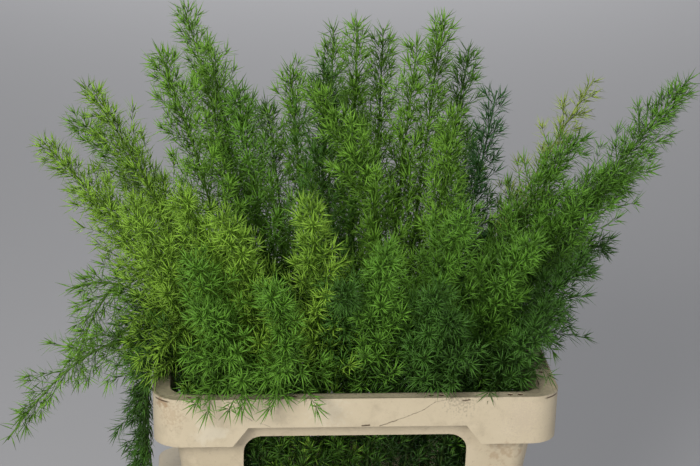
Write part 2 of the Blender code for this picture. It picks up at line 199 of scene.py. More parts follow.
def make_plastic_group():
    tree, source, result = node_group(
        "holder_plastic",
        (
            ("Clean", "NodeSocketColor", (*CREAM, 1)),
            ("Dirt", "NodeSocketColor", (*DIRT, 1)),
            ("Dirt Amount", "NodeSocketFloat", 0.5),
        ),
        (("Colour", "NodeSocketColor"), ("Roughness", "NodeSocketFloat"), ("Height", "NodeSocketFloat")),
    )
    place = put(tree, "ShaderNodeTexCoord").outputs["Object"]
    cloud = noise(tree, place, Scale=14.0, Detail=6.0, Roughness=0.62)
    fleck = noise(tree, place, Scale=260.0, Detail=3.0, Roughness=0.7)
    grime = noise(tree, place, Scale=38.0, Detail=8.0, Roughness=0.72)
    grain = noise(tree, place, Scale=900.0, Detail=2.0)
    mottled = blend_colours(tree, ramp(tree, cloud, 0.35, 0.7), MOTTLE_DARK, MOTTLE_LIGHT)
    colour = blend_colours(tree, 1.0, source.outputs["Clean"], mottled, "MULTIPLY")
    both = calculate(tree, "ADD", ramp(tree, fleck, 0.60, 0.76), ramp(tree, grime, 0.52, 0.74))
    amount = calculate(tree, "MULTIPLY", both, source.outputs["Dirt Amount"])
    amount.node.use_clamp = True
    colour = blend_colours(tree, amount, colour, source.outputs["Dirt"])
    rough = calculate(tree, "MULTIPLY_ADD", amount, DIRT_ROUGHNESS, CLEAN_ROUGHNESS)
    tree.links.new(colour, result.inputs["Colour"])
    tree.links.new(rough, result.inputs["Roughness"])
    tree.links.new(calculate(tree, "ADD", grain, cloud), result.inputs["Height"])
    return tree


plastic_group = make_plastic_group()


def plastic_material(name, dirt_amount):
    material = bpy.data.materials.new(name)
    material.use_nodes = True
    tree = material.node_tree
    shader = tree.nodes["Principled BSDF"]
    group = put(tree, "ShaderNodeGroup", node_tree=plastic_group)
    group.inputs["Dirt Amount"].default_value = dirt_amount
    bump = put(tree, "ShaderNodeBump", {"Height": group.outputs["Height"]}, Strength=0.25, Distance=0.0004)
    tree.links.new(group.outputs["Colour"], shader.inputs["Base Color"])
    tree.links.new(group.outputs["Roughness"], shader.inputs["Roughness"])
    tree.links.new(bump.outputs["Normal"], shader.inputs["Normal"])
    return material


# Bucket: one moulding of the same cream plastic, tapered to its foot, with a turned-out rim
# that the collar sits on. Its plan is a rounded rectangle, moved inwards by an inset.
HOLDER_HALF = (200.0, 150.0)
HOLDER_CORNER = 28.0
CORNER_SHRINK = 0.35
SMALLEST_CORNER = 8.0
CORNER_STEPS = 12
TOUCH_GAP = 0.3
BUCKET_TOP_Z = 205.0
BUCKET_FLOOR_Z = 4.0
FOOT_INSET = 26.0
NECK_INSET = 8.0
BUCKET_WALL = 3.0
RIM_DEPTH = 6.0
RIM_SLOPE = 2.0
FOOT_EDGE = 3.0
FLOOR_EDGE = 2.0
BUCKET_DIRT = 0.35
BUCKET_ROUND = 0.7 * MM

# edges sharper than this are rounded, and those left sharper than this are shaded sharp
ROUND_ABOVE = math.radians(25)
SHARP_ABOVE = math.radians(22)
FLAT_WITHIN = 0.002
MERGE_WITHIN = 0.02 * MM


def rounded_outline(centre, half, radius, steps):
    outline = []
    for sx, sy, start in ((1, 1, 0), (-1, 1, 90), (-1, -1, 180), (1, -1, 270)):
        for step in range(steps + 1):
            angle = math.radians(start + 90 * step / steps)
            a = centre[0] + sx * (half[0] - radius) + radius * math.cos(angle)
            b = centre[1] + sy * (half[1] - radius) + radius * math.sin(angle)
            outline.append((a, b))
    return outline


def plan_loop(inset, z):
    half_x, half_y = HOLDER_HALF[0] - inset, HOLDER_HALF[1] - inset
    radius = max(HOLDER_CORNER - CORNER_SHRINK * inset, SMALLEST_CORNER)
    outline = rounded_outline((0, 0), (half_x, half_y), radius, CORNER_STEPS)
    return [Vector((x, y, z)) * MM for x, y in outline]


# Skins plan loops: a ring joins the last to the first, a cup is capped at both.
def skin(name, profile, ring):
    bm = bmesh.new()
    loops = [[bm.verts.new(place) for place in plan_loop(*step)] for step in profile]
    for low, high in zip(loops, loops[1:] + loops[:1] if ring else loops[1:]):
        for i in range(len(low)):
            j = (i + 1) % len(low)
            bm.faces.new((low[i], low[j], high[j], high[i]))
    if not ring:
        bm.faces.new(loops[0])
        bm.faces.new(loops[-1])
    return finish_mesh(name, bm)


def finish_mesh(name, bm):
    bmesh.ops.recalc_face_normals(bm, faces=bm.faces)
    mesh = bpy.data.meshes.new(name)
    bm.to_mesh(mesh)
    bm.free()
    piece = bpy.data.objects.new(name, mesh)
    scene.collection.objects.link(piece)
    return piece


# Rounds the piece's sharp edges, and shades it smooth between them.
def round_edges(piece, width):
    bm = bmesh.new()
    bm.from_mesh(piece.data)
    bmesh.ops.remove_doubles(bm, verts=bm.verts, dist=MERGE_WITHIN)
    bmesh.ops.dissolve_limit(bm, angle_limit=FLAT_WITHIN, verts=bm.verts, edges=bm.edges)
    edges = [e for e in bm.edges if e.calc_face_angle(0) > ROUND_ABOVE]
    bmesh.ops.bevel(
        bm, geom=edges, offset=width, segments=2, profile=0.5, affect="EDGES",
        clamp_overlap=True, material=-1,
    )
    bm.to_mesh(piece.data)
    bm.free()
    piece.data.shade_smooth()
    piece.data.set_sharp_from_angle(angle=SHARP_ABOVE)


# Puts a finished piece in the frame in the place of a plain solid.
def hand_over(piece, material, node):
    piece.data.materials.append(material)
    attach(piece, "root")
    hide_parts(node)


bucket = skin("bucket_shell", (
    (FOOT_INSET + FOOT_EDGE, 0),
    (FOOT_INSET, FOOT_EDGE),
    (NECK_INSET, BUCKET_TOP_Z - RIM_DEPTH - RIM_SLOPE),
    (0, BUCKET_TOP_Z - RIM_DEPTH),
    (0, BUCKET_TOP_Z),
    (NECK_INSET + BUCKET_WALL, BUCKET_TOP_Z),
    (FOOT_INSET + BUCKET_WALL, BUCKET_FLOOR_Z + FLOOR_EDGE),
    (FOOT_INSET + BUCKET_WALL + FLOOR_EDGE, BUCKET_FLOOR_Z),
), ring=False)
round_edges(bucket, BUCKET_ROUND)
hand_over(bucket, plastic_material("bucket_plastic", BUCKET_DIRT), "bucket")

# Collar: one moulding that drops over the bucket's rim. Its ledge has pairs of small
# drain slots, its apron steps up over each window, and years of use have marked it.
RIM_Z = 390.0
LEDGE_WIDTH = 16.8
LEDGE_THICK = 4.2
LEDGE_EDGE = (0.8, 1.2)
LIP_WIDTH = 2.2
LIP_HEIGHT = 1.4
LIP_SLOPE = 0.6
APRON_DEEP = 50.0
APRON_SHALLOW = 30.0
APRON_THICK = 2.6
APRON_DRAFT = 0.8
INNER_WALL = 3.0
INNER_DRAFT = 0.15
SEAT_Z = BUCKET_TOP_Z + TOUCH_GAP
SEAT_INSET = 5.0
SEAT_THICK = 3.0
SKIRT_INSET = 13.0
SKIRT_DEPTH = 13.0
SKIRT_THICK = 3.0
SKIRT_DRAFT = 1.0
COLLAR_DIRT = 0.3
COLLAR_ROUND = 0.6 * MM

WINDOW_TOP_Z = 342.0
WINDOW_SILL_Z = 232.0
WINDOW_CORNER = 18.0
WINDOW_STEPS = 6
STEP_SLANT = 15.0
CUT_PAST = 3.0
STEP_CUT = (5.0, 9.0)

# for each pair of sides: direction, window half width, half width of the apron's step,
# reach of the window's cut, and place of the apron
SIDES = (
    ("Y", 111.0, 107.0, 140, HOLDER_HALF[1]),
    ("X", 60.0, 57.0, 190, HOLDER_HALF[0]),
)
SLOT_PAIRS = (-160.0, -67.0, 77.0, 155.0)
SIDE_SLOT_PAIRS = (-78.0, 0.0, 78.0)
SLOT_OFFSETS = (-5.0, 5.0)
SLOT_HALF = (2.8, 2.5)
SLOT_ROUND = 0.95
SLOT_STEPS = 3
SLOT_FROM_RIM = 10.4
SLOT_DEPTH = 1.5


def wall_inset(z):
    return LEDGE_WIDTH - INNER_WALL + INNER_DRAFT * (RIM_Z - z)


# A prism with the given outline, between two stations on X, Y or Z.
def prism(outline, axis, start, end):
    bm = bmesh.new()
    rings = []
    for station in (start, end):
        ring = []
        for a, b in outline:
            place = {"X": (station, a, b), "Y": (a, station, b), "Z": (a, b, station)}[axis]
            ring.append(bm.verts.new(Vector(place) * MM))
        rings.append(ring)
        bm.faces.new(ring)
    for i in range(len(outline)):
        j = (i + 1) % len(outline)
        bm.faces.new((rings[0][i], rings[0][j], rings[1][j], rings[1][i]))
    return finish_mesh("cutter", bm)


def slot_cutters():
    cutters = []
    edge_x, edge_y = HOLDER_HALF[0] - SLOT_FROM_RIM, HOLDER_HALF[1] - SLOT_FROM_RIM
    places = [(x + d, side * edge_y) for x in SLOT_PAIRS for d in SLOT_OFFSETS for side in (-1, 1)]
    for y in SIDE_SLOT_PAIRS:
        places += [(side * edge_x, y + d) for d in SLOT_OFFSETS for side in (-1, 1)]
    top = RIM_Z - LIP_HEIGHT
    for x, y in places:
        half = SLOT_HALF if abs(y) > edge_y - 1 else SLOT_HALF[::-1]
        outline = rounded_outline((x, y), half, min(half) * SLOT_ROUND, SLOT_STEPS)
        cutters.append(prism(outline, "Z", top - SLOT_DEPTH, top + CUT_PAST))
    return cutters


def opening_cutters():
    cutters = []
    mid, tall = (WINDOW_TOP_Z + WINDOW_SILL_Z) / 2, (WINDOW_TOP_Z - WINDOW_SILL_Z) / 2
    low, high = RIM_Z - APRON_DEEP - CUT_PAST, RIM_Z - APRON_SHALLOW
    slant = STEP_SLANT * (high - low) / (APRON_DEEP - APRON_SHALLOW)
    for axis, window, step, reach, edge in SIDES:
        outline = rounded_outline((0, mid), (window, tall), WINDOW_CORNER, WINDOW_STEPS)
        cutters.append(prism(outline, axis, -reach, reach))
        outline = ((-step, high), (-step - slant, low), (step + slant, low), (step, high))
        for side in (-1, 1):
            cutters.append(prism(outline, axis, side * (edge + STEP_CUT[0]), side * (edge - STEP_CUT[1])))
    return cutters


def cut(target, cutters):
    group = bpy.data.collections.new("cutters")
    scene.collection.children.link(group)
    for cutter in cutters:
        scene.collection.objects.unlink(cutter)
        group.objects.link(cutter)
    modifier = target.modifiers.new("cut", "BOOLEAN")
    modifier.operation, modifier.operand_type = "DIFFERENCE", "COLLECTION"
    modifier.collection, modifier.solver = group, "EXACT"
    bpy.context.view_layer.objects.active = target
    bpy.ops.object.modifier_apply(modifier=modifier.name)
    for cutter in cutters:
        bpy.data.objects.remove(cutter)
    bpy.data.collections.remove(group)


ledge_z = RIM_Z - LEDGE_THICK
lip_foot_z = RIM_Z - LIP_HEIGHT
seat_top_z = SEAT_Z + SEAT_THICK
skirt_back = SKIRT_INSET + SKIRT_DRAFT + SKIRT_THICK
collar = skin("collar_shell", (
    (0, RIM_Z),
    (APRON_DRAFT, RIM_Z - APRON_DEEP),
    (APRON_DRAFT + APRON_THICK, RIM_Z - APRON_DEEP),
    (APRON_THICK, ledge_z),
    (wall_inset(ledge_z), ledge_z),
    (wall_inset(seat_top_z), seat_top_z),
    (SEAT_INSET, seat_top_z),
    (SEAT_INSET, SEAT_Z),
    (SKIRT_INSET, SEAT_Z),
    (SKIRT_INSET + SKIRT_DRAFT, SEAT_Z - SKIRT_DEPTH),
    (skirt_back, SEAT_Z - SKIRT_DEPTH),
    (skirt_back, SEAT_Z),
    (wall_inset(SEAT_Z) + INNER_WALL, SEAT_Z),
    (LEDGE_WIDTH + LEDGE_EDGE[0], ledge_z - LEDGE_EDGE[1]),
    (LEDGE_WIDTH, lip_foot_z),
    (LIP_WIDTH + LIP_SLOPE, lip_foot_z),
    (LIP_WIDTH, RIM_Z),
), ring=True)
cut(collar, opening_cutters() + slot_cutters())
round_edges(collar, COLLAR_ROUND)

# The collar's marks are shader masks. Strokes are its crack, slits and scratches, and
# patches are its stains, worn places and specks.
STROKE_WOBBLE = 1.8 * MM
PATCH_FALL = -0.32
PATCH_EDGE = (0.28, 0.42)
LEDGE_FADE = (2.0, 4.0)
SLOT_FADE = (0.2, 0.9)
MASK_DEPTH = 1.0


def vector_maths(tree, operation, links, output="Vector"):
    return put(tree, "ShaderNodeVectorMath", links, operation=operation).outputs[output]


# The mask of a thin line between two places: a crack, slit or scratch.
def make_stroke_group():
    tree, source, result = node_group(
        "stroke",
        (
            ("From", "NodeSocketVector", (0, 0, 0)),
            ("To", "NodeSocketVector", (0, 0, 0)),
            ("Width", "NodeSocketFloat", 0.001),
        ),
        (("Mask", "NodeSocketFloat"),),
    )
    start = source.outputs["From"]
    place = put(tree, "ShaderNodeTexCoord").outputs["Object"]
    wobble = put(tree, "ShaderNodeTexNoise", {"Vector": place}, Scale=240.0, Detail=3.0)
    shift = vector_maths(tree, "MULTIPLY_ADD", {0: wobble.outputs["Color"]})
    shift.node.inputs[1].default_value = (STROKE_WOBBLE,) * 3
    shift.node.inputs[2].default_value = (-STROKE_WOBBLE / 2,) * 3
    moved = vector_maths(tree, "ADD", {0: place, 1: shift})
    reach = vector_maths(tree, "SUBTRACT", {0: source.outputs["To"], 1: start})
    offset = vector_maths(tree, "SUBTRACT", {0: moved, 1: start})
    along = vector_maths(tree, "DOT_PRODUCT", {0: offset, 1: reach}, "Value")
    square = vector_maths(tree, "DOT_PRODUCT", {0: reach, 1: reach}, "Value")
    share = calculate(tree, "DIVIDE", along, square)
    share.node.use_clamp = True
    foot = vector_maths(tree, "SCALE", {0: reach, "Scale": share})
    gap = vector_maths(tree, "DISTANCE", {0: offset, 1: foot}, "Value")
    ratio = calculate(tree, "DIVIDE", gap, source.outputs["Width"])
    tree.links.new(ramp(tree, ratio, 1.0, 0.35), result.inputs["Mask"])
    return tree


# The mask of a soft-edged, broken-up patch: a stain, a worn place or a chip.
def make_patch_group():
    tree, source, result = node_group(
        "patch",
        (
            ("Centre", "NodeSocketVector", (0, 0, 0)),
            ("Radius", "NodeSocketFloat", 0.02),
            ("Grain", "NodeSocketFloat", 120.0),
        ),
        (("Mask", "NodeSocketFloat"),),
    )
    place = put(tree, "ShaderNodeTexCoord").outputs["Object"]
    gap = vector_maths(tree, "DISTANCE", {0: place, 1: source.outputs["Centre"]}, "Value")
    ratio = calculate(tree, "DIVIDE", gap, source.outputs["Radius"])
    links = {"Vector": place, "Scale": source.outputs["Grain"]}
    speckle = put(tree, "ShaderNodeTexNoise", links, Detail=6.0).outputs["Fac"]
    both = calculate(tree, "MULTIPLY_ADD", ratio, PATCH_FALL, speckle)
    tree.links.new(ramp(tree, both, *PATCH_EDGE), result.inputs["Mask"])
    return tree


# On the front face, in millimetres: x and z of both ends, width and strength.
STROKES = (
    (21.4, 360.9, 37.9, 366.8, 0.8, 0.75), (37.9, 366.8, 49.6, 371.3, 0.6, 0.55),
    (49.6, 371.3, 64.1, 377.6, 0.6, 0.65), (64.1, 377.6, 74.6, 385.5, 0.6, 0.55),
    (74.6, 385.5, 92.0, 389.5, 0.6, 0.45), (4.0, 361.3, 11.0, 361.6, 1.1, 1.0),
    (102.0, 386.8, 108.5, 387.6, 1.1, 0.9), (-113.2, 374.9, -103.5, 367.4, 0.6, 0.5),
    (-95.7, 365.2, -86.0, 360.9, 0.5, 0.45),
)
RUST = (0.30, 0.15, 0.05)
SOOT = (0.07, 0.05, 0.03)
WORN = (0.74, 0.68, 0.55)
PINK = (0.46, 0.36, 0.30)

# x, y, z, radius, grain, colour and strength
PATCHES = (
    (-194, -144, 385, 12, 160, RUST, 0.50), (-182, -150, 374, 20, 460, RUST, 0.22),
    (-144, -150, 352, 22, 90, WORN, 0.40), (162, -150, 366, 30, 640, PINK, 0.20),
    (193, -146, 347, 5, 200, WORN, 0.80), (150, -136, 322, 26, 150, RUST, 0.32),
    (172, -130, 326, 16, 110, SOOT, 0.30), (-30, -150, 376, 30, 260, WORN, 0.25),
    (190, -40, 389, 34, 240, SOOT, 0.30), (196, 60, 372, 40, 130, RUST, 0.22),
    (-198, 50, 366, 38, 140, SOOT, 0.18), (-60, 150, 366, 44, 120, RUST, 0.22),
    (120, 150, 352, 30, 300, SOOT, 0.20), (100, -140, 390, 26, 420, SOOT, 0.30),
)
CRACK = (0.085, 0.055, 0.032)
LEDGE_DIRT = (0.25, 0.215, 0.165)
# colour of the painted shade in the slots
SLOT_SHADE = (0.075, 0.042, 0.020)


# The masks of the ledge, where dust and grit lie, and of the slots sunk into it, whose floors are painted
# dark as painted shade.
def ledge_masks(tree):
    place = put(tree, "ShaderNodeTexCoord").outputs["Object"]
    split = put(tree, "ShaderNodeSeparateXYZ", {0: place})
    insets = []
    for socket, half in (("X", HOLDER_HALF[0]), ("Y", HOLDER_HALF[1])):
        size = calculate(tree, "ABSOLUTE", split.outputs[socket])
        insets.append(ramp(tree, size, (half - LEDGE_FADE[0]) * MM, (half - LEDGE_FADE[1]) * MM))
    inside = calculate(tree, "MULTIPLY", *insets)
    height = split.outputs["Z"]
    grit = noise(tree, place, Scale=330.0, Detail=8.0, Roughness=0.75)
    above = ramp(tree, height, (lip_foot_z - MASK_DEPTH) * MM, lip_foot_z * MM)
    top = calculate(tree, "MULTIPLY", above, inside)
    dust = calculate(tree, "MULTIPLY", top, ramp(tree, grit, 0.50, 0.74))
    low = ramp(tree, height, (lip_foot_z - SLOT_FADE[0]) * MM, (lip_foot_z - SLOT_FADE[1]) * MM)
    floor_z = lip_foot_z - SLOT_DEPTH
    deep = ramp(tree, height, (floor_z - MASK_DEPTH) * MM, floor_z * MM)
    sunk = calculate(tree, "MULTIPLY", low, deep)
    return dust, calculate(tree, "MULTIPLY", sunk, inside)


def collar_material():
    material = plastic_material("collar_plastic", COLLAR_DIRT)
    tree = material.node_tree
    shader = tree.nodes["Principled BSDF"]
    colour = shader.inputs["Base Color"].links[0].from_socket
    patch, stroke = make_patch_group(), make_stroke_group()
    for x, y, z, radius, grain, tint, strength in PATCHES:
        node = put(tree, "ShaderNodeGroup", node_tree=patch)
        node.inputs["Centre"].default_value = Vector((x, y, z)) * MM
        node.inputs["Radius"].default_value = radius * MM
        node.inputs["Grain"].default_value = grain
        amount = calculate(tree, "MULTIPLY", node.outputs[0], strength)
        colour = blend_colours(tree, amount, colour, tint)
    dust, slots = ledge_masks(tree)
    colour = blend_colours(tree, dust, colour, LEDGE_DIRT)
    # painted shade on the slot floors
    colour = blend_colours(tree, slots, colour, SLOT_SHADE)
    for x0, z0, x1, z1, width, strength in STROKES:
        node = put(tree, "ShaderNodeGroup", node_tree=stroke)
        for label, x, z in (("From", x0, z0), ("To", x1, z1)):
            y = APRON_DRAFT * (RIM_Z - z) / APRON_DEEP - HOLDER_HALF[1]
            node.inputs[label].default_value = Vector((x, y, z)) * MM
        node.inputs["Width"].default_value = width * MM
        amount = calculate(tree, "MULTIPLY", node.outputs[0], strength)
        colour = blend_colours(tree, amount, colour, CRACK)
    tree.links.new(colour, shader.inputs["Base Color"])
    return material


hand_over(collar, collar_material(), "collar")

# Water: poured into the bucket, still, and faintly green from the stems that stand in it.
# The plain solid stays, with its holes round the stems, and only its material is set.
WATER_GREEN = (0.62, 0.72, 0.62)
WATER_CLEARNESS = 0.8
WATER_IOR = 1.33


def make_water():
    material = plain_material("water", WATER_GREEN, 0.04)
    shader = material.node_tree.nodes["Principled BSDF"]
    shader.inputs["Transmission Weight"].default_value = WATER_CLEARNESS
    shader.inputs["IOR"].default_value = WATER_IOR
    tree = material.node_tree
    place = put(tree, "ShaderNodeTexCoord").outputs["Object"]
    ripple = noise(tree, place, Scale=25.0, Detail=2.0)
    bump = put(tree, "ShaderNodeBump", {"Height": ripple}, Strength=0.15, Distance=0.002)
    tree.links.new(bump.outputs["Normal"], shader.inputs["Normal"])
    return material


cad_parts["water"].data.materials.clear()
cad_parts["water"].data.materials.append(make_water())

# Needles: soft, flat green blades, widest over a third of the way up. One is made, and
# copies of it are set in whorls on the twigs. A vertex attribute called along is 0 on a
# stem and runs from a needle's root to 1 at its tip.
NEEDLE_LENGTH = 19.0 * MM
NEEDLE_WIDTH = 1.65 * MM
NEEDLE_THICK = 0.5 * MM
WIDEST_AT = 0.38
ROOT_ALONG = 0.1


def make_needle():
    bm = bmesh.new()
    bmesh.ops.create_cone(
        bm, cap_ends=True, segments=3, radius1=0.5, radius2=0.0, depth=1.0 - WIDEST_AT,
        matrix=Matrix.Translation((0, 0, (1.0 + WIDEST_AT) / 2)),
    )
    base = min(bm.faces, key=lambda face: face.calc_center_median().z)
    root = bmesh.ops.poke(bm, faces=[base])["verts"][0]
    root.co.z = 0.0
    along = bm.verts.layers.float.new("along")
    for v in bm.verts:
        v[along] = ROOT_ALONG + (1 - ROOT_ALONG) * v.co.z
        v.co.x, v.co.y = v.co.x * NEEDLE_WIDTH, v.co.y * NEEDLE_THICK
    bmesh.ops.recalc_face_normals(bm, faces=bm.faces)
    bm.verts.layers.float.new("twig_light")
    mesh = bpy.data.meshes.new("needle")
    bm.to_mesh(mesh)
    bm.free()
    return mesh


needle = make_needle()


# Adds a copy of a small mesh, and sets one attribute of all its vertices.
def set_copy(bm, template, matrix, layer, value):
    copy = template.copy()
    copy.transform(matrix)
    copy.attributes[layer].data.foreach_set("value", [value] * len(copy.vertices))
    bm.from_mesh(copy)
    bpy.data.meshes.remove(copy)


# A needle's place: its root on the stem, turned round the stem and leaned off it.
def needle_place(height, turn, lean, length, stem_radius):
    return (
        Matrix.Translation((0, 0, height))
        @ Matrix.Rotation(turn, 4, "Z")
        @ Matrix.Translation((0, -stem_radius * 0.5, 0))
        @ Matrix.Rotation(lean, 4, "X")
        @ Matrix.Diagonal((1, 1, length, 1))
    )


# Twigs: thin green side shoots with a whorl of needles every few millimetres and a star of
# them at the end, in six lengths and a few shapes of each. The shortest is a single whorl.
# A painted-light attribute rises from a twig's root to its star: it gives the needles near the root
# painted shade and those at its end painted light.
TWIG_LENGTHS = (0.0, 13 * MM, 25 * MM, 37 * MM, 49 * MM, 61 * MM)
TWIG_SHAPES = 5
TWIG_RADIUS = 0.5 * MM
TWIG_BOW = 4.0
BOW_SHARES = (0.4, 1.2)
WHORL_STEP = 7.6 * MM
WHORL_NEEDLES = 4
WHORL_SPREAD = 0.25
FIRST_WHORL = 0.6
WHORL_LEAN = 66
TOP_LEAN_CHANGE = 20
LEAN_SPREAD = 0.25
WHORL_SIZES = (0.7, 1.12)
END_SIZE = 0.78
MIDDLE_SIZE = 0.3
STAR_NEEDLES = 8
STAR_SPREAD = 0.3
STAR_LEANS = (16, 38, 52, 66)
STAR_SIZES = (0.75, 1.0)
STAR_AT = 0.985
# painted light of a star's needles, which rises from this with the twig's length
STAR_LIGHT = 0.3


def make_twig(length, seed):
    draw = random.Random(seed)
    bow_share = draw.uniform(*BOW_SHARES)
    bm = bmesh.new()
    bm.verts.layers.float.new("along")
    bm.verts.layers.float.new("twig_light")
    if length:
        bmesh.ops.create_cone(
            bm, cap_ends=True, segments=3, radius1=TWIG_RADIUS, radius2=TWIG_RADIUS * 0.5,
            depth=length, matrix=Matrix.Translation((0, 0, length / 2)),
        )
        sides = [e for e in bm.edges if e.calc_length() > length / 2]
        bmesh.ops.subdivide_edges(bm, edges=sides, cuts=1)
        bmesh.ops.triangulate(bm, faces=bm.faces)
    count = max(1, round(length / WHORL_STEP))
    for k in range(count):
        share = (k + FIRST_WHORL) / count
        turn = draw.uniform(0, math.tau)
        lean = math.radians(WHORL_LEAN - TOP_LEAN_CHANGE * share)
        bulge = math.sin(math.pi * min(1.0, share + 0.1))
        size = NEEDLE_LENGTH * (END_SIZE + MIDDLE_SIZE * bulge)
        for i in range(WHORL_NEEDLES):
            spread = turn + math.tau * (i + draw.uniform(-WHORL_SPREAD, WHORL_SPREAD)) / WHORL_NEEDLES
            set_copy(bm, needle, needle_place(
                length * share, spread, lean + draw.uniform(-LEAN_SPREAD, LEAN_SPREAD),
                size * draw.uniform(*WHORL_SIZES), TWIG_RADIUS,
            ), "twig_light", length / TWIG_LENGTHS[-1] * share)
    if length:
        for i in range(STAR_NEEDLES):
            spread = math.tau * (i + draw.uniform(-STAR_SPREAD, STAR_SPREAD)) / STAR_NEEDLES
            set_copy(bm, needle, needle_place(
                length * STAR_AT, spread, math.radians(draw.choice(STAR_LEANS)),
                NEEDLE_LENGTH * draw.uniform(*STAR_SIZES), 0,
            ), "twig_light", STAR_LIGHT + (1 - STAR_LIGHT) * length / TWIG_LENGTHS[-1])
    for v in bm.verts:
        v.co.y += TWIG_BOW * bow_share * v.co.z * v.co.z
    bm.verts.layers.float.new("shade")
    mesh = bpy.data.meshes.new("twig")
    bm.to_mesh(mesh)
    bm.free()
    return mesh


twigs = [
    [make_twig(length, 20 * k + shape) for shape in range(TWIG_SHAPES)]
    for k, length in enumerate(TWIG_LENGTHS)
]

# Fern green: a leaf green that varies from plume to plume, with painted shade on the needles
# near a twig's root and painted light on those at its end, and paler towards each needle's
# tip. Each green has a dark and a light end.
# The bright green is a lit copy of the leaf green for the fronds at the front left, the one between leaf
# and bright a lit copy for the tops and the left, and the deep green a shaded copy for fronds inside the
# bunch and low at the sides: painted light and shade.
GREENS = {
    "leaf": ((0.007, 0.038, 0.001), (0.150, 0.350, 0.034)),
    "painted_lit": ((0.013, 0.058, 0.002), (0.205, 0.430, 0.042)),
    "bright": ((0.022, 0.085, 0.002), (0.280, 0.500, 0.048)),
    "deep": ((0.004, 0.022, 0.001), (0.072, 0.190, 0.023)),
    "pale": ((0.130, 0.230, 0.026), (0.420, 0.540, 0.110)),
    "blue": ((0.006, 0.034, 0.005), (0.065, 0.190, 0.046)),
}
STEM_GREEN = (0.026, 0.056, 0.007)
STEM_SHARE = 0.55
TIP_LIGHT = 0.22


def fern_material(name, dark, light):
    material = bpy.data.materials.new("fern_" + name)
    material.use_nodes = True
    tree = material.node_tree
    shader = tree.nodes["Principled BSDF"]
    shader.inputs["Roughness"].default_value = 0.45
    shader.inputs["Specular IOR Level"].default_value = 0.3
    along = put(tree, "ShaderNodeAttribute", attribute_name="along").outputs["Fac"]
    # painted shade near a twig's root, painted light towards its end
    twig_light = put(tree, "ShaderNodeAttribute", attribute_name="twig_light").outputs["Fac"]
    # random tone per twig, with painted light towards a frond's tip and painted shade below the rim
    shade = put(tree, "ShaderNodeAttribute", attribute_name="shade").outputs["Fac"]
    place = put(tree, "ShaderNodeTexCoord").outputs["Object"]
    cloud = noise(tree, place, Scale=70.0, Detail=3.0)
    mixed = calculate(tree, "ADD", calculate(tree, "ADD", twig_light, shade), cloud)
    colour = blend_colours(tree, ramp(tree, mixed, 0.8, 2.1), dark, light)
    tip = calculate(tree, "MULTIPLY", ramp(tree, along, 0.4, 1.0), TIP_LIGHT)
    colour = blend_colours(tree, tip, colour, light)
    # stems: painted shade below the rim, lighter towards the tip
    bark = tuple(STEM_SHARE * value for value in light)
    stem = blend_colours(tree, ramp(tree, shade, 0.1, 0.9), STEM_GREEN, bark)
    colour = blend_colours(tree, ramp(tree, along, 0.06, 0.02), colour, stem)
    tree.links.new(colour, shader.inputs["Base Color"])
    return material


greens = {name: fern_material(name, dark, light) for name, (dark, light) in GREENS.items()}

# Fronds: cut stems that stand on the bucket's floor, rise to the collar's rim and arch
# on from there, each with twigs all round that get shorter towards its tip. Each takes
# the place of the plain frond of the same number, and keeps its curve.
FLOOR_Z = BUCKET_FLOOR_Z + TOUCH_GAP
FOOT_SPREAD = 0.62
STEM_RADIUS = 1.7
TIP_RADIUS = 0.7
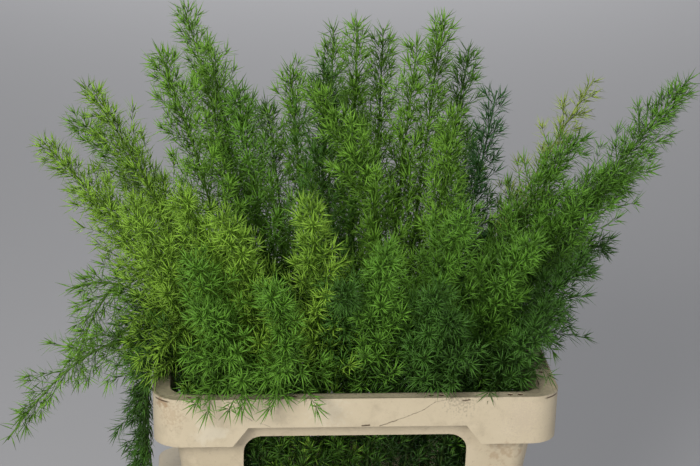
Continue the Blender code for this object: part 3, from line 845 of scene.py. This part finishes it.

# rim x, rim y, tip x, tip y, tip z, rise of the bend, lean of the bend, twig share, green,
# and how closely the twigs are set
# bright, deep and the lit green between leaf and bright are painted light and shade copies
FRONDS = (
    (-150, -20, -310, 0, 608, 120, 0.40, 1.0, "bright", 1.0),
    (-142, 62, -270, 60, 650, 150, 0.40, 1.0, "bright", 1.0),
    (-122, 112, -290, 170, 583, 130, 0.40, 1.0, "painted_lit", 1.0),
    (-112, 8, -194, 0, 702, 190, 0.40, 1.2, "painted_lit", 1.0),
    (-88, 108, -170, 150, 714, 190, 0.50, 1.0, "painted_lit", 1.0),
    (-85, 62, -144, 60, 697, 170, 0.60, 1.1, "painted_lit", 1.0),
    (-72, 22, -117, 20, 660, 160, 0.60, 1.2, "leaf", 1.0),
    (-42, 50, -62, 40, 676, 170, 0.30, 1.15, "painted_lit", 1.0),
    (-18, 92, -14, 100, 702, 180, 0.60, 0.8, "painted_lit", 1.0),
    (8, 58, 7, 60, 718, 190, 0.40, 0.8, "painted_lit", 1.0),
    (34, 108, 39, 110, 699, 180, 0.50, 0.8, "painted_lit", 1.0),
    (44, 28, 67, 30, 702, 170, 0.30, 1.0, "painted_lit", 1.0),
    (66, 74, 98, 80, 719, 180, 0.50, 0.9, "painted_lit", 1.0),
    (88, 112, 134, 130, 676, 160, 0.60, 0.8, "leaf", 1.0),
    (102, 44, 154, 60, 645, 150, 0.70, 0.7, "blue", 0.9),
    (132, 82, 256, 60, 658, 130, 0.40, 0.7, "pale", 0.6),
    (156, 4, 341, 0, 673, 140, 0.42, 0.9, "leaf", 1.3),
    (158, 108, 329, 140, 540, 110, 0.40, 0.8, "leaf", 1.2),
    (128, 14, 236, 20, 608, 130, 0.40, 1.0, "leaf", 1.4),
    (-152, -72, -218, -140, 589, 130, 0.50, 1.0, "bright", 1.0),
    (-112, -50, -172, -150, 597, 150, 0.50, 1.0, "bright", 1.0),
    (-84, -92, -133, -160, 581, 130, 0.50, 1.0, "bright", 1.0),
    (-34, -86, -51, -170, 598, 140, 0.60, 1.0, "bright", 1.0),
    (26, -22, -50, -30, 673, 170, -0.40, 1.0, "painted_lit", 1.0),
    (62, -66, 101, -150, 577, 140, 0.50, 1.0, "leaf", 1.0),
    (-130, -112, -158, -170, 540, 110, 0.50, 0.9, "leaf", 1.0),
    (16, -108, 18, -190, 556, 120, 0.60, 1.0, "leaf", 1.0),
    (58, -112, 71, -185, 514, 100, 0.60, 0.9, "deep", 1.0),
    (118, -70, 175, -120, 542, 120, 0.50, 1.0, "leaf", 1.2),
    (164, -48, 238, -60, 500, 90, 0.60, 0.9, "deep", 1.4),
    (142, -112, 179, -150, 460, 60, 0.60, 0.7, "deep", 1.0),
    (-14, -58, -19, -200, 511, 130, 0.70, 0.9, "deep", 1.0),
    (-58, -116, -89, -190, 517, 100, 0.60, 0.9, "leaf", 1.0),
    (-166, -46, -344, -100, 328, 80, 0.45, 0.8, "painted_lit", 0.6),
    (-164, 20, -289, -20, 456, 90, 0.50, 0.75, "painted_lit", 0.6),
    (-164, 96, -295, 100, 308, 110, 0.60, 0.8, "painted_lit", 0.6),
    (-168, 56, -209, 0, 240, 110, 1.05, 0.8, "deep", 1.3),
    (166, 56, 285, 70, 470, 90, 0.50, 0.9, "deep", 1.3),
    (-56, 118, -80, 225, 590, 140, 0.50, 0.9, "leaf", 1.0),
    (10, 118, 20, 235, 600, 140, 0.50, 0.9, "leaf", 1.0),
    (124, 118, 150, 225, 560, 120, 0.50, 0.9, "leaf", 1.0),
    (-156, 112, -210, 200, 480, 100, 0.50, 0.8, "leaf", 1.0),
    (-28, 2, -30, 0, 690, 170, 0.50, 1.0, "deep", 1.0),
    (84, -14, 100, -20, 640, 160, 0.50, 1.0, "painted_lit", 1.0),
    (148, 40, 289, 20, 562, 120, 0.45, 0.9, "leaf", 1.4),
    (112, 88, 228, 90, 516, 130, 0.50, 0.9, "deep", 1.0),
    (-136, -30, -266, -60, 568, 130, 0.45, 1.0, "bright", 1.0),
    (-100, -114, -157, -195, 498, 95, 0.60, 0.9, "leaf", 1.0),
    (98, -112, 79, -190, 484, 95, 0.60, 0.9, "deep", 1.0),
    (150, -84, 206, -122, 466, 80, 0.50, 0.9, "deep", 1.0),
    (-168, -88, -210, -74, 262, 90, 1.05, 0.8, "deep", 1.3),
)
AXIS_POINTS = 17
HEADING_REACH = 9
STEM_SIDES = 5
STEM_STATIONS = 22
STEM_PAST_TIP = 2

# millimetres of stem per twig, and how much closer they are set by the rim and at the tip
TWIG_STEP = 5.4
STEP_SHARES = (0.6, 1.4)
RIM_BAND = (-130, 80)
RIM_DENSITY = 1.7
TIP_DENSITY = 0.9
LEAVES_BELOW_RIM = (140, 100)
TIP_BARE = 3

TWIG_LENGTH = 62.0
TWIG_TAPER = 0.5
TAPER_POWER = 0.75
TWIG_SHARES = (0.4, 1.12)
TUFT_SWING = 0.28
TUFT_STEP = 7.0
TWIG_LEAN = 54.0
LEAN_SPREADS = (-20, 16)
TIP_LEAN_CHANGE = 12
TURN_STEP = 2.4
TURN_SPREAD = 0.4
SPIN_SPREAD = 0.5

# Each twig's shade is a random tone, with painted light added towards the frond's tip and painted shade on
# the twigs below the rim, inside the collar.
SHADE_SPREAD = 0.7
TIP_SHADE = 0.8
BELOW_RIM_SHADE = 0.45

# twigs that bow out over the rim: from how near it, what share, where, and which way
DROOP_REACH = 54.0
DROOP_SHARE = 0.75
DROOP_BAND = (6, 64)
DROOP_SHARES = (0.9, 1.12)
DROOP_ASIDE = 1.3
DROOP_DIP = (-0.25, 0.15)

TWIG_CLEAR = 3.0
TWIG_SAMPLES = 8
STAR_REACH = 4
NEEDLE_CLEAR = 0.4
NEEDLE_VERTICES = 5


def unit(v):
    return v / max(np.linalg.norm(v), 1e-9)


# True where a point is in the holder's walls, or less than the margin from them.
def in_holder(points, margin):
    x, y, depth = np.abs(points[:, 0]), np.abs(points[:, 1]), RIM_Z - points[:, 2]
    qx = x - (HOLDER_HALF[0] - HOLDER_CORNER)
    qy = y - (HOLDER_HALF[1] - HOLDER_CORNER)
    inset = HOLDER_CORNER - np.hypot(np.maximum(qx, 0), np.maximum(qy, 0))
    inset -= np.minimum(np.maximum(qx, qy), 0)
    inner = LEDGE_WIDTH + INNER_DRAFT * depth + margin
    return (depth > -margin) & (inset > -margin) & (inset < inner)


class Axis:
    def __init__(self, frond):
        rim_x, rim_y, tip_x, tip_y, tip_z, rise, lean = frond[:7]
        rim = np.array((rim_x, rim_y, RIM_Z))
        tip = np.array((tip_x, tip_y, tip_z), float)
        bend = rim + (tip - rim) * lean
        bend[2] = RIM_Z + rise
        foot = np.array((rim[0] * FOOT_SPREAD, rim[1] * FOOT_SPREAD, FLOOR_Z))
        t = np.linspace(0, 1, AXIS_POINTS)[:, None]
        curve = (1 - t) ** 2 * rim + 2 * t * (1 - t) * bend + t**2 * tip
        self.points = np.vstack((foot, curve))
        steps = np.linalg.norm(np.diff(self.points, axis=0), axis=1)
        self.along = np.concatenate(((0,), np.cumsum(steps)))
        self.length = self.along[-1]

    def at(self, s):
        return np.array([np.interp(s, self.along, self.points[:, k]) for k in range(3)])

    def heading(self, s):
        return unit(self.at(min(s + HEADING_REACH, self.length)) - self.at(max(s - HEADING_REACH, 0)))


# The stem's heading at a station, and two directions square to it.
def frame_at(axis, s):
    heading = axis.heading(s)
    side = np.array((1.0, 0.0, 0.0))
    side = unit(side - (side @ heading) * heading)
    return heading, side, np.cross(heading, side)


# Draws the stem out of a small ring, and marks how far up it each vertex is. The mark gives the stem
# painted shade below the rim, growing lighter towards the tip.
def sweep_stem(bm, axis):
    shade_layer = bm.verts.layers.float["shade"]
    ring = bmesh.ops.create_circle(bm, cap_ends=True, segments=STEM_SIDES, radius=1.0)["verts"]
    edges = list(bm.edges)
    stations = [0.0, axis.along[1] * 0.5]
    stations += list(np.linspace(axis.along[1], axis.length + STEM_PAST_TIP, STEM_STATIONS))
    for k, s in enumerate(stations):
        _, side, up = frame_at(axis, s)
        share = max(0.0, (s - axis.along[1]) / (axis.length - axis.along[1]))
        radius = STEM_RADIUS + (TIP_RADIUS - STEM_RADIUS) * min(share, 1.0)
        for i, v in enumerate(ring):
            angle = math.tau * i / len(ring)
            place = axis.at(s) + radius * (math.cos(angle) * side + math.sin(angle) * up)
            v.co = Vector(place * MM)
            v[shade_layer] = share
        if k < len(stations) - 1:
            grown = bmesh.ops.extrude_edge_only(bm, edges=edges)["geom"]
            edges = [g for g in grown if isinstance(g, bmesh.types.BMEdge)]
            new = [g for g in grown if isinstance(g, bmesh.types.BMVert)]
            ring = match_ring(ring, new)
            edges = [e for e in edges if e.verts[0] in new and e.verts[1] in new]
    bmesh.ops.holes_fill(bm, edges=edges, sides=STEM_SIDES)
    bmesh.ops.recalc_face_normals(bm, faces=bm.faces)


def match_ring(old, new):
    found = []
    for v in old:
        found.append(next(e.other_vert(v) for e in v.link_edges if e.other_vert(v) in new))
    return found


# The longest kind of twig, up to the wanted length, that clears the holder. None if none
# does. The twig bows by the given share towards the given side.
def twig_kind(root, way, side, bow, wanted):
    kind = int(np.argmin([abs(wanted * MM - t) for t in TWIG_LENGTHS]))
    while kind >= 0:
        reach = np.linspace(0.1, 1, TWIG_SAMPLES)[:, None] * (TWIG_LENGTHS[kind] / MM + STAR_REACH)
        samples = root + way * reach + side * bow * TWIG_BOW * MM * reach**2
        if not in_holder(samples, TWIG_CLEAR).any():
            return kind
        kind -= 1
    return None


# The way out over the nearest side of the holder, and how far off its edge is.
def way_out(x, y):
    gap_x, gap_y = HOLDER_HALF[0] - abs(x), HOLDER_HALF[1] - abs(y)
    if gap_y < gap_x:
        return np.array((0, math.copysign(1, y), 0)), gap_y
    return np.array((math.copysign(1, x), 0, 0)), gap_x


# Sets the twigs of one frond, round and up the stem. Where it stands by the rim, some of
# the lowest twigs lean out and bow down over it.
def leaf_frond(bm, axis, frond, draw):
    rim_x, rim_y, twig_share, closeness = frond[0], frond[1], frond[7], frond[9]
    rim_at = axis.along[1]
    start = rim_at - LEAVES_BELOW_RIM[0 if rim_y < 0 else 1]
    turn, tuft_phase = draw.uniform(0, math.tau), draw.uniform(0, math.tau)
    over, gap = way_out(rim_x, rim_y)
    droop_share = DROOP_SHARE if rim_x < 0 else DROOP_SHARE / 3
    if gap > DROOP_REACH:
        droop_share = 0.0
    s = start
    while s < axis.length - TIP_BARE:
        share = (s - start) / (axis.length - start)
        length = TWIG_LENGTH * twig_share * min(1.0, (1 - share) / TWIG_TAPER) ** TAPER_POWER
        length *= 1.0 + TUFT_SWING * math.sin(s / TUFT_STEP + tuft_phase)
        turn += TURN_STEP + draw.uniform(-TURN_SPREAD, TURN_SPREAD)
        heading, side, up = frame_at(axis, s)
        lean = math.radians(TWIG_LEAN + draw.uniform(*LEAN_SPREADS) - TIP_LEAN_CHANGE * share)
        out = math.cos(turn) * side + math.sin(turn) * up
        way = math.cos(lean) * heading + math.sin(lean) * out
        droops = DROOP_BAND[0] < s - rim_at < DROOP_BAND[1] and draw.random() < droop_share
        if droops:
            aside = draw.uniform(-DROOP_ASIDE, DROOP_ASIDE)
            way = unit(over + (over[1] * aside, over[0] * aside, draw.uniform(*DROOP_DIP)))
        root = axis.at(s)
        across = unit(np.cross(way, heading))
        third = np.cross(across, way)
        bow = -1.0 if droops else 1.0
        wanted = length * draw.uniform(*(DROOP_SHARES if droops else TWIG_SHARES))
        kind = twig_kind(root, way, third, bow, wanted)
        by_rim = RIM_BAND[0] < s - rim_at < RIM_BAND[1]
        dense = RIM_DENSITY if by_rim else 1.0 + TIP_DENSITY * share
        # random tone, painted light towards the tip, painted shade below the rim
        shade = draw.uniform(0, SHADE_SPREAD) + TIP_SHADE * share
        if s < rim_at:
            shade -= BELOW_RIM_SHADE
        s += TWIG_STEP * draw.uniform(*STEP_SHARES) / (closeness * dense)
        if kind is None:
            continue
        spin = math.pi * droops + draw.uniform(-SPIN_SPREAD, SPIN_SPREAD)
        place = Matrix((
            (across[0], third[0], way[0], root[0] * MM),
            (across[1], third[1], way[1], root[1] * MM),
            (across[2], third[2], way[2], root[2] * MM),
            (0, 0, 0, 1),
        )) @ Matrix.Rotation(spin, 4, "Z")
        set_copy(bm, draw.choice(twigs[kind]), place, "shade", shade)


# Takes away the needles that would run into the holder's walls.
def clear_needles(bm):
    bm.verts.ensure_lookup_table()
    points = np.array([v.co for v in bm.verts]) / MM
    gone = set()
    for index in np.nonzero(in_holder(points, NEEDLE_CLEAR))[0]:
        island, front = set(), [bm.verts[index]]
        while front and len(island) <= NEEDLE_VERTICES:
            v = front.pop()
            island.add(v)
            front += [e.other_vert(v) for e in v.link_edges if e.other_vert(v) not in island]
        if len(island) == NEEDLE_VERTICES:
            gone |= island
    bmesh.ops.delete(bm, geom=list(gone), context="VERTS")


def make_frond(number, frond):
    draw = random.Random(900 + number)
    axis = Axis(frond)
    bm = bmesh.new()
    for layer in ("along", "twig_light", "shade"):
        bm.verts.layers.float.new(layer)
    sweep_stem(bm, axis)
    leaf_frond(bm, axis, frond, draw)
    clear_needles(bm)
    mesh = bpy.data.meshes.new("fern_%02d" % number)
    bm.to_mesh(mesh)
    bm.free()
    mesh.materials.append(greens[frond[8]])
    mesh.shade_smooth()
    piece = bpy.data.objects.new(mesh.name, mesh)
    scene.collection.objects.link(piece)
    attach(piece, "root")
    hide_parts("frond_%02d" % number)


for number, frond in enumerate(FRONDS, 1):
    make_frond(number, frond)
for row in twigs:
    for mesh in row:
        bpy.data.meshes.remove(mesh)
bpy.data.meshes.remove(needle)
